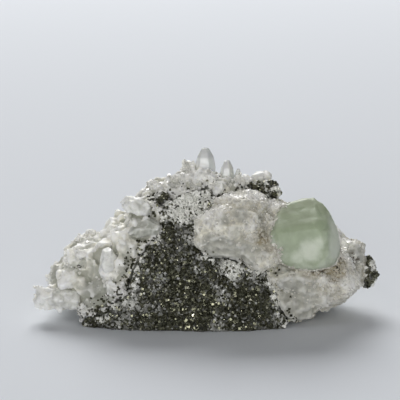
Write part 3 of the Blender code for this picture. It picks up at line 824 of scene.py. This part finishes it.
def calcite_finish():
    """Calcite: white sugar, smooth grey patches partly painted shade, brown stain, painted shade and
    highlight.
    """
    s = settings("calcite")
    bright, painted_shade_grey, black = (0.96, 0.94, 0.87), (0.38, 0.37, 0.31), (0.12, 0.10, 0.07)
    f = milky("calcite", Roughness=0.55)
    colour = f.ramp(f.clouds(6.0 * MM, detail=3.0), (0.34, (0.73, 0.69, 0.57)), (0.55, s.white))
    fine = f.clouds(0.75 * MM, detail=3.0, rough=0.65)
    grain_light = f.ramp(fine, (0.3, (0.78, 0.77, 0.73)), (0.6, (1.05, 1.05, 1.05)))
    colour = f.sugary(f.mixed(0.8, colour, grain_light, "MULTIPLY"), 0.65 * MM, contrast=0.7)
    veins = f.clouds(2.2 * MM, detail=4.0, rough=0.65)
    grey_streaks_and_shade = f.ramp(veins, (0.35, (0.35, 0.345, 0.305)), (0.65, (0.58, 0.57, 0.495)))
    # Grey streaks of smooth calcite, partly painted shade on the lobe's lower lip and low right foot
    colour = f.mixed(f.zone("grey", 4.0 * MM, raggedness=0.5), colour, grey_streaks_and_shade)
    colour = f.tinted(colour, f.zone("bright", 3.0 * MM, raggedness=1.4), 0.8, bright)
    # Painted shade: grey in the hollows; painted highlight: near white on the ridges
    colour = f.painted_shade_and_highlight(colour, painted_shade_grey, strength=0.6, pale=0.35)
    colour = f.tinted(colour, f.zone("brown", 1.6 * MM), 0.95, s.stain)
    f.coloured(f.specked(colour, 0.7 * MM, black, crowding=0.6, softness=0.2))
    f.bumpy(fine, depth=0.25 * MM, strength=0.7)
    return f.material


def calcite_sugar_finish():
    """Small calcite grains, close to the stone in colour."""
    bright, brown = (0.98, 0.96, 0.90), (0.50, 0.44, 0.32)
    f = milky("calcite sugar", Roughness=0.3)
    colour = f.ramp(
        f.stored("shade"), (0.0, (0.62, 0.59, 0.49)), (0.5, (0.80, 0.775, 0.68)), (1.0, (0.93, 0.905, 0.81))
    )
    colour = f.mixed(f.stored("bright"), colour, bright)
    f.coloured(f.tinted(colour, f.stored("brown"), 0.8, brown))
    return f.material


def fluorite_finish():
    """Soft green fluorite, cloudy inside."""
    s = settings("fluorite")
    light_green, olive, tint = (0.58, 0.66, 0.48), (0.36, 0.40, 0.26), (0.62, 0.80, 0.56)
    f = milky("green fluorite", Roughness=0.48, IOR=s.ior, Transmission_Weight=0.25,
              Subsurface_Scale=5.0 * MM, Subsurface_Weight=0.6)
    colour = f.ramp(f.clouds(5.0 * MM, detail=3.0, rough=0.55), (0.35, s.green), (0.7, light_green))
    cloudy = f.between(f.ragged("pale", 2.5 * MM, raggedness=0.9, rough=0.6), 0.05, 1.1)
    colour = f.mixed(cloudy, colour, s.pale)
    f.coloured(f.tinted(colour, f.stored("dark"), 0.6, olive))
    f.absorbing(tint, s.absorption)
    f.bumpy(f.clouds(1.2 * MM, detail=4.0, rough=0.6), depth=0.15 * MM, strength=0.7)
    return f.material


def clear_finish():
    """Clear quartz with a slight tint and cloudy veils."""
    tint = (0.85, 0.93, 0.90)
    f = milky("clear quartz", Roughness=0.12, IOR=1.544, Transmission_Weight=0.45)
    f.coloured(f.ramp(f.clouds(3.0 * MM), (0.35, (0.88, 0.91, 0.88)), (0.65, (0.98, 0.98, 0.96))))
    f.absorbing(tint, density=8.0)
    return f.material


def white_finish():
    """White and greenish grey quartz crystals."""
    f = milky("white quartz", Roughness=0.42, Transmission_Weight=0.12, IOR=1.544)
    veils = f.clouds(2.6 * MM, detail=3.0)
    white = f.ramp(veils, (0.35, (0.84, 0.84, 0.78)), (0.6, (0.98, 0.975, 0.93)))
    grey = f.ramp(veils, (0.35, (0.40, 0.41, 0.35)), (0.6, (0.62, 0.62, 0.55)))
    f.coloured(f.sugary(f.mixed(f.stored("grey"), white, grey), 0.8 * MM, contrast=0.4))
    f.bumpy(f.clouds(1.1 * MM, detail=3.0), depth=0.15 * MM, strength=0.6)
    return f.material


# The quartz rock


def rock_with_druse():
    """The rock and the small crystals grown from it, in one skin with broken facets."""
    s = settings("rock")
    coarse_skin = 0.5 * MM
    lumps = ("soft", 3.0 * MM, s.ruggedness)
    rock = natural_skin("quartz_matrix", "quartz_rock", coarse_skin, smoothing=2, relief=[lumps])
    stems = [natural_skin(node, node + "_stem", coarse_skin, smoothing=2) for node in CLOUDY_CRYSTALS]
    ground = joined(copied(rock, "crystal_ground"), *stems)
    groups_behind = drifts(ground, 14.0 * MM, seed=7.0, start=0.45, steepness=6, most=0.8)
    clumps = drifts(ground, 7.0 * MM, seed=1.0, start=0.36, steepness=5, least=0.1)
    clumps = clumps * np.maximum(front_values(ground), groups_behind)
    not_bare = np.clip(1 - 1.1 * zone_values(ground, CLEAR_ZONES + SMOOTH_ZONES), 0.06, 1)
    inside_box = places(ground)[:, 1] < BACK - BACK_MARGIN
    open_air = open_values(ground, "quartz_matrix", *CLOUDY_CRYSTALS)
    store(ground, "druse", open_air * clumps * not_bare * inside_box)
    crystals = spread(ground, "rock_crystals", POINTS, "druse", per_mm2=0.42, widths=(1.6 * MM, 4.2 * MM),
                      sink=0.2 * MM, seed=3, lean=0.6, stretch=(0.7, 1.2))
    bpy.data.objects.remove(ground)
    rock = joined(rock, crystals)
    shaped(rock, "REMESH", mode="VOXEL", voxel_size=s.skin)
    for size, height in ROCK_FACETS:
        carved(rock, "faceted", size, height)
    shaped(rock, "DECIMATE", ratio=KEPT_FACES)
    rest_on_floor(rock)
    return rock


def store_rock_zones(rock):
    """Keeps where the rock is clear, cream, dark, earthy or hollow, and where grains cover it."""
    open_air = open_values(rock, "quartz_matrix")
    for name, zones in (
        ("clear", CLEAR_ZONES), ("violet", VIOLET_ZONES), ("cream", CREAM_ZONES), ("speck", SPECK_ZONES),
    ):
        store(rock, name, zone_values(rock, zones))
    front = front_values(rock)
    scattered = drifts(rock, 4.0 * MM, seed=9.0, start=0.5, steepness=3, most=0.35)
    scattered = scattered * (1 - zone_values(rock, SMOOTH_ZONES))
    grainy = np.maximum(1.2 * zone_values(rock, ROCK_SUGAR_ZONES), scattered)
    store(rock, "sugar", open_air * front * np.clip(grainy, 0, 1))
    store(rock, "earthy", 0.85 * (1 - front))
    # The hollow measure, kept for the painted shade in the hollows and the painted highlight on the ridges
    store(rock, "hollow", hollow_values(rock, rounds=36, depth=0.6 * MM))
    border = crust_border(rock, 5.0 * MM) * (1 - zone_values(rock, CREAM_ZONES))
    knots_behind = drifts(rock, 8.0 * MM, seed=8.0, start=0.68, steepness=6) * (1 - front)
    specks = np.maximum(zone_values(rock, SPECK_ZONES) * 1.2 - 0.2, np.maximum(border, knots_behind))
    store(rock, "pyrite", open_air * np.clip(specks, 0, 1))


class SPECIMEN_OT_rock(bpy.types.Operator):
    """Model the quartz rock with its small crystals and specks"""

    bl_idname = "specimen.rock"
    bl_label = "Quartz Rock"

    def execute(self, context):
        rock = rock_with_druse()
        store_rock_zones(rock)
        sprinkle(rock, "rock_sugar", druse_finish, "milky_quartz", PALE_GRAINS, "sugar",
                 per_mm2=2.0, widths=(0.4 * MM, 1.1 * MM), sink=0.12 * MM, seed=4)
        sprinkle(rock, "rock_pyrite", pyrite_finish, "pyrite", DARK_GRAINS, "pyrite",
                 per_mm2=2.6, widths=(0.4 * MM, 0.85 * MM), sink=0.1 * MM, seed=9)
        finish_piece(rock, rock_finish(), "milky_quartz", "quartz_matrix")
        return {"FINISHED"}


class SPECIMEN_OT_crust(bpy.types.Operator):
    """Model the pyrite crust with its grains"""

    bl_idname = "specimen.crust"
    bl_label = "Pyrite Crust"

    def execute(self, context):
        s = settings("pyrite")
        lumps = ("soft", 2.5 * MM, 0.6 * MM)
        crust = natural_skin("pyrite_crust", "crust_ground", skin=0.4 * MM, smoothing=1, relief=[lumps])
        open_air = open_values(crust, "pyrite_crust", reach=0.8 * MM)
        scattered = drifts(crust, 6.0 * MM, seed=2.0, start=0.56, steepness=3.5, most=0.5)
        sugar = np.maximum(zone_values(crust, CRUST_SUGAR_ZONES), scattered)
        store(crust, "pyrite", open_air * (1 - 0.85 * sugar))
        near_calcite = near_values(crust, "calcite_mass", 3.5 * MM)
        near_rock = near_values(crust, "quartz_matrix", 4.5 * MM)
        ragged = drifts(crust, 2.0 * MM, seed=5.0, start=0.35, steepness=4)
        pale_border = 1.3 * np.maximum(near_calcite, near_rock) * ragged
        store(crust, "pale", np.maximum(sugar, pale_border))
        store(crust, "sugar", open_air * np.maximum(0.06 + 0.94 * sugar, pale_border))
        sprinkle(crust, "crust_grains", pyrite_finish, "pyrite", DARK_GRAINS, "pyrite",
                 per_mm2=6.5, widths=(s.smallest, s.largest), sink=0.05 * MM, seed=5)
        sprinkle(crust, "crust_sugar", sugar_finish, "milky_quartz", PALE_GRAINS, "sugar",
                 per_mm2=6.0, widths=(0.4 * MM, 0.95 * MM), sink=0.05 * MM, seed=6)
        finish_piece(crust, bed_finish(), "pyrite", "pyrite_crust")
        return {"FINISHED"}


class SPECIMEN_OT_calcite(bpy.types.Operator):
    """Model the white calcite mass"""

    bl_idname = "specimen.calcite"
    bl_label = "Calcite"

    def execute(self, context):
        s = settings("calcite")
        relief = [("soft", 2.6 * MM, 0.8 * MM), ("faceted", 3.2 * MM, 0.5 * MM)]
        stone = natural_skin(
            "calcite_mass", "calcite_stone", s.skin, smoothing=3, growth=0.15 * MM, relief=relief
        )
        open_air = open_values(stone, "calcite_mass")
        grey = zone_values(stone, GREY_AND_SHADE_CALCITE_ZONES)
        speck = zone_values(stone, CALCITE_SPECK_ZONES)
        store(stone, "grey", grey)
        # The hollow measure, kept for the painted shade in the hollows and the painted highlight on the
        # ridges
        store(stone, "hollow", hollow_values(stone, rounds=14, depth=0.25 * MM))
        store(stone, "brown", zone_values(stone, BROWN_ZONES))
        store(stone, "bright", zone_values(stone, BRIGHT_CALCITE_ZONES))
        store(stone, "speck", speck)
        store(stone, "sugar", open_air * np.clip(1 - 1.1 * grey, 0, 1))
        dark = np.maximum(0.6 * speck - 0.2, crust_border(stone, 4.0 * MM))
        store(stone, "pyrite", open_air * np.clip(dark, 0, 1))
        sprinkle(stone, "calcite_sugar", calcite_sugar_finish, "calcite", PALE_GRAINS, "sugar",
                 per_mm2=1.8, widths=(0.4 * MM, 1.0 * MM), sink=0.14 * MM, seed=12)
        sprinkle(stone, "calcite_pyrite", pyrite_finish, "pyrite", DARK_GRAINS, "pyrite",
                 per_mm2=2.6, widths=(0.35 * MM, 0.75 * MM), sink=0.1 * MM, seed=14)
        finish_piece(stone, calcite_finish(), "calcite", "calcite_mass")
        return {"FINISHED"}


class SPECIMEN_OT_fluorite(bpy.types.Operator):
    """Model the green fluorite crystal"""

    bl_idname = "specimen.fluorite"
    bl_label = "Fluorite"

    def execute(self, context):
        relief = [("soft", 7.0 * MM, 0.35 * MM), ("faceted", 3.0 * MM, 0.12 * MM)]
        crystal = natural_skin(
            "fluorite_crystal", "fluorite", skin=0.3 * MM, smoothing=2, growth=0.3 * MM, relief=relief
        )
        grown_in = 0.75 * near_values(crystal, "calcite_mass", 3.0 * MM)
        store(crystal, "pale", np.maximum(grown_in, zone_values(crystal, PALE_FLUORITE_ZONES)))
        store(crystal, "dark", zone_values(crystal, DARK_FLUORITE_ZONES))
        store(crystal, "foot", near_values(crystal, "calcite_mass", 1.6 * MM))
        sprinkle(crystal, "fluorite_sugar", calcite_sugar_finish, "calcite", PALE_GRAINS, "foot",
                 per_mm2=6.0, widths=(0.3 * MM, 0.8 * MM), sink=-0.05 * MM, seed=16)
        finish_piece(crystal, fluorite_finish(), "green_fluorite", "fluorite_crystal")
        return {"FINISHED"}


class SPECIMEN_OT_quartz(bpy.types.Operator):
    """Model the crystals that stand alone"""

    bl_idname = "specimen.quartz"
    bl_label = "Quartz Crystals"

    def execute(self, context):
        clear, white = clear_finish(), white_finish()
        for node, points in QUARTZ_POINTS.items():
            grown = []
            for across, width, low, high, depth in points:
                place = (in_view(across, 0.0, depth * MM).x, depth * MM)
                grown.append(quartz_point(node + "_clear", place, width * MM, low * MM, high * MM))
            finish_piece(joined(*grown), clear, "clear_quartz", node)
        skin, growth = 0.25 * MM, 0.3 * MM
        piece = natural_skin(
            "quartz_crystal_right", "quartz_crystal_right_clear", skin, smoothing=4, growth=growth
        )
        store(piece, "grey", np.ones(len(piece.data.vertices)))
        finish_piece(piece, white, "clear_quartz", "quartz_crystal_right")
        relief = [("soft", 4.5 * MM, 0.3 * MM), ("faceted", 3.0 * MM, 0.7 * MM)]
        for node, (greyness, rounding, slot) in CLOUDY_CRYSTALS.items():
            piece = natural_skin(node, node + "_milky", skin, rounding, growth, relief)
            # On top of the crystal's own greyness: painted shade in the hollows, painted highlight on ridges
            hollow = hollow_values(piece, rounds=14, depth=0.2 * MM)
            store(piece, "grey", np.clip(greyness + 0.5 * hollow, 0, 1))
            finish_piece(piece, white, slot, node)
        return {"FINISHED"}


class SPECIMEN_OT_knots(bpy.types.Operator):
    """Model the knots of larger pyrite crystals"""

    bl_idname = "specimen.knots"
    bl_label = "Pyrite Knots"

    def execute(self, context):
        for k, node in enumerate(PYRITE_KNOTS):
            knot = natural_skin(node, node + "_ground", skin=0.22 * MM, smoothing=1)
            lumps = patches(knot, 2.5 * MM, seed=6.0)
            quartz = np.clip(2.6 - lumps * 4, 0, 0.9)
            store(knot, "pyrite", np.clip(lumps * 3 - 0.7, 0, 1))
            store(knot, "sugar", quartz)
            store(knot, "pale", quartz)
            sprinkle(knot, node + "_grains", pyrite_finish, "pyrite", DARK_GRAINS, "pyrite",
                     per_mm2=3.0, widths=(0.45 * MM, 1.1 * MM), sink=0.15 * MM, seed=20 + k)
            sprinkle(knot, node + "_sugar", sugar_finish, "milky_quartz", PALE_GRAINS, "sugar",
                     per_mm2=3.0, widths=(0.4 * MM, 1.0 * MM), sink=0.0, seed=30 + k)
            finish_piece(knot, bed_finish(), "pyrite", node)
        return {"FINISHED"}


# The stage


def set_light(name, place, width, power):
    """A square lamp at a place, in metres and watts, turned to the specimen."""
    bpy.ops.object.light_add(type="AREA", location=place)
    lamp = bpy.context.object
    lamp.name = name
    lamp.data.size = width
    lamp.data.energy = power
    lamp.rotation_euler = (-Vector(place)).to_track_quat("-Z", "Y").to_euler()


def soft_room(strength):
    """A soft grey light all round, brighter from above."""
    horizon, above = (0.02, 0.42), (0.75, 0.62)
    room = bpy.data.worlds.new("soft room")
    room.use_nodes = True
    w = Nodes(room.node_tree)
    direction = w.node("ShaderNodeTexCoord").outputs["Generated"]
    upwards = w.node("ShaderNodeSeparateXYZ", {0: direction}).outputs["Z"]
    greys = w.node("ShaderNodeValToRGB", {0: upwards})
    for element, (at, grey) in zip(greys.color_ramp.elements, (horizon, above)):
        element.position = at
        element.color = (grey, grey, grey * 1.02, 1)
    back = w.tree.nodes["Background"]
    w.link(greys.outputs[0], back.inputs["Color"])
    back.inputs["Strength"].default_value = strength
    return room


class SPECIMEN_OT_stage(bpy.types.Operator):
    """Set up the floor, the light and the camera"""

    bl_idname = "specimen.stage"
    bl_label = "Stage"

    def execute(self, context):
        s = settings("stage")
        bpy.ops.object.select_all(action="DESELECT")
        bpy.ops.mesh.primitive_plane_add(size=8.0, location=(0, 0, 0))
        floor = context.object
        floor.name = "floor"
        paper = Finish("pale floor", Base_Color=(*s.floor, 1), Roughness=0.9, Specular_IOR_Level=0.0)
        floor.data.materials.append(paper.material)

        set_light("window", (-0.35, 2.1, 1.7), width=1.7, power=s.window)
        set_light("front_fill", (-0.25, -1.4, 0.11), width=0.9, power=s.fill)
        set_light("glint_left", (-0.35, -0.35, 0.55), width=0.02, power=0.16)
        set_light("glint_right", (0.30, -0.45, 0.40), width=0.02, power=0.12)
        set_light("glint_top", (0.05, -0.20, 0.80), width=0.02, power=0.16)
        context.scene.world = soft_room(s.sky)

        bpy.ops.object.camera_add(location=EYE)
        camera = context.object
        camera.name = "camera"
        camera.rotation_euler = SIGHT.to_track_quat("-Z", "Y").to_euler()
        camera.data.lens = camera.data.sensor_width * DISTANCE / PICTURE_WIDTH
        camera.data.clip_start = NEAREST_SEEN
        camera.data.clip_end = FARTHEST_SEEN
        context.scene.camera = camera
        context.scene.view_settings.view_transform = "Standard"
        return {"FINISHED"}


OPERATORS = (
    SPECIMEN_OT_rock,
    SPECIMEN_OT_crust,
    SPECIMEN_OT_calcite,
    SPECIMEN_OT_fluorite,
    SPECIMEN_OT_quartz,
    SPECIMEN_OT_knots,
    SPECIMEN_OT_stage,
)


class SPECIMEN_PT_panel(bpy.types.Panel):
    """The specimen's settings and steps"""

    bl_label = "Specimen"
    bl_idname = "SPECIMEN_PT_panel"
    bl_space_type = "VIEW_3D"
    bl_region_type = "UI"
    bl_category = "Specimen"

    def draw(self, context):
        for operator in OPERATORS:
            self.layout.operator(operator.bl_idname)
        for name, group in SETTINGS.items():
            box = self.layout.box()
            for key in group.__annotations__:
                box.prop(settings(name), key)


def register():
    for cls in (*SETTINGS.values(), *OPERATORS, SPECIMEN_PT_panel):
        bpy.utils.register_class(cls)
    for name, group in SETTINGS.items():
        setattr(bpy.types.Scene, "specimen_" + name, PointerProperty(type=group))


def unregister():
    for name in SETTINGS:
        delattr(bpy.types.Scene, "specimen_" + name)
    for cls in reversed((*SETTINGS.values(), *OPERATORS, SPECIMEN_PT_panel)):
        bpy.utils.unregister_class(cls)


def main():
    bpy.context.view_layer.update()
    register()
    for operator in OPERATORS:
        getattr(bpy.ops.specimen, operator.bl_idname.split(".")[1])()


if __name__ == "__main__":
    main()
